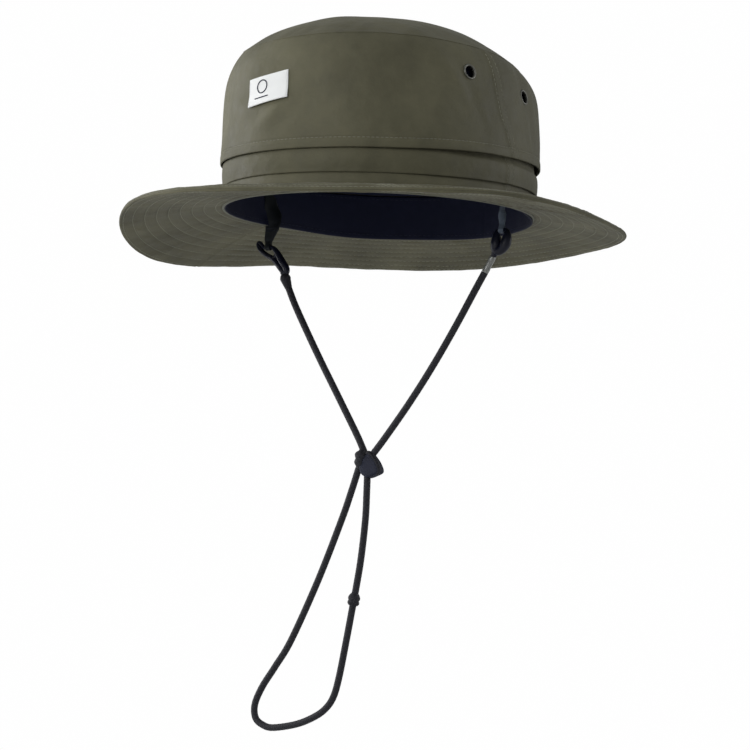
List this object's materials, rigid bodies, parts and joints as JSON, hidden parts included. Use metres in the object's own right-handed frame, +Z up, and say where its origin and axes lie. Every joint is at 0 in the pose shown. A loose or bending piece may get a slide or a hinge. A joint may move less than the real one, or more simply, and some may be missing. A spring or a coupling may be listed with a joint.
{
  "type": "boonie hat",
  "caption": "Soft boonie hat with a lined crown over two overlapping bands, side eyelets, a stitched drooping brim and a hook-on chin cord with a slider.",
  "frame": {"origin": "middle of the head opening, in the plane of the brim's underside where it meets the sweatband", "axes": "+X to the wearer's left, -Y to the front, +Z up; the head leaves along -Z"},
  "size_m": [0.2797, 0.3153, 0.4109],
  "materials": {
    "shell_cloth": "matt nylon, close plain weave",
    "lining_cloth": "matt",
    "interlining": "stiff non-woven",
    "label_cloth": "woven satin",
    "eyelet_metal": "dark enamel",
    "webbing": "ribbed ribbon",
    "hook_plastic": "gloss",
    "clear_sleeve": "clear shrink tube",
    "cord": "braided polyester",
    "slider_rubber": "satin"
  },
  "bodies": {
    "hat": {"crown_panel_front": "shell_cloth", "crown_panel_back": "shell_cloth", "crown_top_panel": "shell_cloth", "upper_band_front": "shell_cloth", "upper_band_back": "shell_cloth", "lower_band_front": "shell_cloth", "lower_band_back": "shell_cloth", "lining_wall": "lining_cloth", "lining_top": "lining_cloth", "sweatband": "lining_cloth", "brim_underside_front": "shell_cloth", "brim_underside_back": "shell_cloth", "brim_interlining": "interlining", "brim_upper_front": "shell_cloth", "brim_upper_back": "shell_cloth", "eyelet_left_front": "eyelet_metal", "eyelet_left_back": "eyelet_metal", "eyelet_right_front": "eyelet_metal", "eyelet_right_back": "eyelet_metal", "eyelet_washer_left_front": "eyelet_metal", "eyelet_washer_left_back": "eyelet_metal", "eyelet_washer_right_front": "eyelet_metal", "eyelet_washer_right_back": "eyelet_metal", "label": "label_cloth", "webbing_tab_left": "webbing", "webbing_tab_right": "webbing"},
    "chin_strap": {"hook_left": "hook_plastic", "hook_right": "hook_plastic", "cord_sleeve_left": "clear_sleeve", "cord_sleeve_right": "cord", "chin_cord_left": "cord", "chin_cord_right": "cord", "chin_cord_loop": "cord", "chin_cord_return": "cord", "cord_knot": "cord"},
    "slider": {"slider_body": "slider_rubber", "slider_collar": "slider_rubber"}
  },
  "joints": [
    {"name": "chin_strap_swing", "type": "hinge", "parent": "hat", "child": "chin_strap", "pos_m": [0, 0.005, -0.014], "axis": [1, 0, 0], "range_deg": [-70, 70]},
    {"name": "slider_slide", "type": "slide", "parent": "chin_strap", "child": "slider", "axis": [0, 0, 1], "range_m": [-0.03, 0.05], "deforming": ["chin_cord_left", "chin_cord_right", "chin_cord_loop", "chin_cord_return"]}
  ]
}
